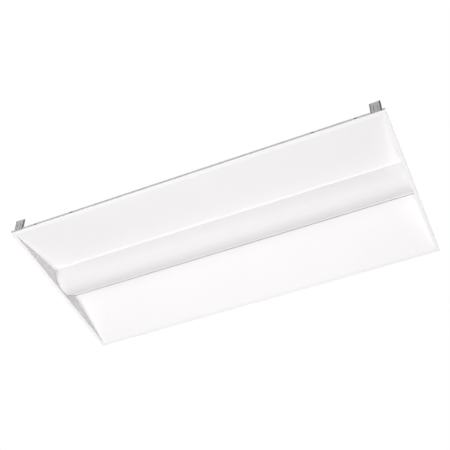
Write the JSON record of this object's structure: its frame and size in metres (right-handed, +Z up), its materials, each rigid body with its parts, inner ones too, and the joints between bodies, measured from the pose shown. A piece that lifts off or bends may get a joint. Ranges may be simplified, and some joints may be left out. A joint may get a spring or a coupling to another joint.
{
  "type": "recessed troffer light",
  "caption": "Lay-in ceiling troffer: white sheet housing with two sloping wings, a round-bottomed frosted lens door, grid clips and a covered wiring compartment.",
  "frame": {"origin": "centre of the underside of the flange, in the ceiling plane", "axes": "+X along the length, +Y across the width towards the lens door's hinge, +Z up into the ceiling void"},
  "size_m": [1.213, 0.603, 0.0861],
  "materials": {
    "white_enamel": "satin white powder coat",
    "galvanised_sheet": "galvanised sheet",
    "galvanised_clip": "galvanised steel",
    "frosted_lens": "frosted white acrylic",
    "zinc_steel": "zinc plated",
    "spring_steel": "bright spring steel",
    "board_white": "white solder mask",
    "led_phosphor": "yellow phosphor",
    "connector_white": "moulded nylon",
    "connector_clear": "orange translucent plastic",
    "lead_white": "white insulation",
    "lead_black": "black insulation",
    "lead_green": "green insulation",
    "ground_green": "green dyed zinc",
    "rubber_black": "moulded rubber",
    "driver_case": "white painted steel can"
  },
  "bodies": {
    "housing": {"wing_near": "white_enamel", "wing_far": "white_enamel", "end_plate_left": "white_enamel", "end_plate_right": "white_enamel", "spine_channel": "galvanised_sheet", "driver_tray": "galvanised_sheet", "tray_end_left": "galvanised_sheet", "tray_end_right": "galvanised_sheet", "hinge_leaf": "galvanised_sheet", "knockout_disc": "galvanised_sheet", "wing_brackets_left": "galvanised_sheet", "wing_brackets_right": "galvanised_sheet", "grid_clip_near_left": "galvanised_clip", "grid_clip_near_right": "galvanised_clip", "grid_clip_far_left": "galvanised_clip", "grid_clip_far_right": "galvanised_clip", "housing_screws": "zinc_steel", "board_screws": "zinc_steel", "driver_screws": "zinc_steel", "cover_hinge_pin": "zinc_steel", "door_hinge_pins": "zinc_steel", "catch_rivets": "zinc_steel", "door_catches": "spring_steel", "led_board_near_left": "board_white", "led_board_near_right": "board_white", "led_board_far_left": "board_white", "led_board_far_right": "board_white", "led_chips": "led_phosphor", "board_connectors": "connector_white", "splice_connectors": "connector_clear", "board_jumpers": "lead_white", "output_leads": "lead_white", "supply_leads": "lead_black", "ground_lead": "lead_green", "ground_screw": "ground_green", "grommet": "rubber_black", "led_driver": "driver_case"},
    "lens_door": {"lens": "frosted_lens", "door_rail_near": "white_enamel", "door_rail_far": "white_enamel", "door_end_left": "white_enamel", "door_end_right": "white_enamel"},
    "cover": {"access_cover": "galvanised_sheet", "cover_screw": "zinc_steel"},
    "tongue_near_left": {"clip_tongue_near_left": "galvanised_clip"},
    "tongue_near_right": {"clip_tongue_near_right": "galvanised_clip"},
    "tongue_far_left": {"clip_tongue_far_left": "galvanised_clip"},
    "tongue_far_right": {"clip_tongue_far_right": "galvanised_clip"}
  },
  "joints": [
    {"name": "lens_door_swing", "type": "hinge", "parent": "housing", "child": "lens_door", "pos_m": [0, 0.068, 0.0483], "axis": [1, 0, 0], "range_deg": [0, 90]},
    {"name": "cover_swing", "type": "hinge", "parent": "housing", "child": "cover", "pos_m": [0, 0.087, 0.0823], "axis": [1, 0, 0], "range_deg": [0, 110]},
    {"name": "tongue_bend_near_left", "type": "hinge", "parent": "housing", "child": "tongue_near_left", "pos_m": [-0.5815, -0.3011, 0.007], "axis": [1, 0, 0], "range_deg": [0, 85]},
    {"name": "tongue_bend_near_right", "type": "hinge", "parent": "housing", "child": "tongue_near_right", "pos_m": [0.5815, -0.3011, 0.007], "axis": [1, 0, 0], "range_deg": [0, 85]},
    {"name": "tongue_bend_far_left", "type": "hinge", "parent": "housing", "child": "tongue_far_left", "pos_m": [-0.5815, 0.3011, 0.007], "axis": [-1, 0, 0], "range_deg": [0, 85]},
    {"name": "tongue_bend_far_right", "type": "hinge", "parent": "housing", "child": "tongue_far_right", "pos_m": [0.5815, 0.3011, 0.007], "axis": [-1, 0, 0], "range_deg": [0, 85]}
  ]
}
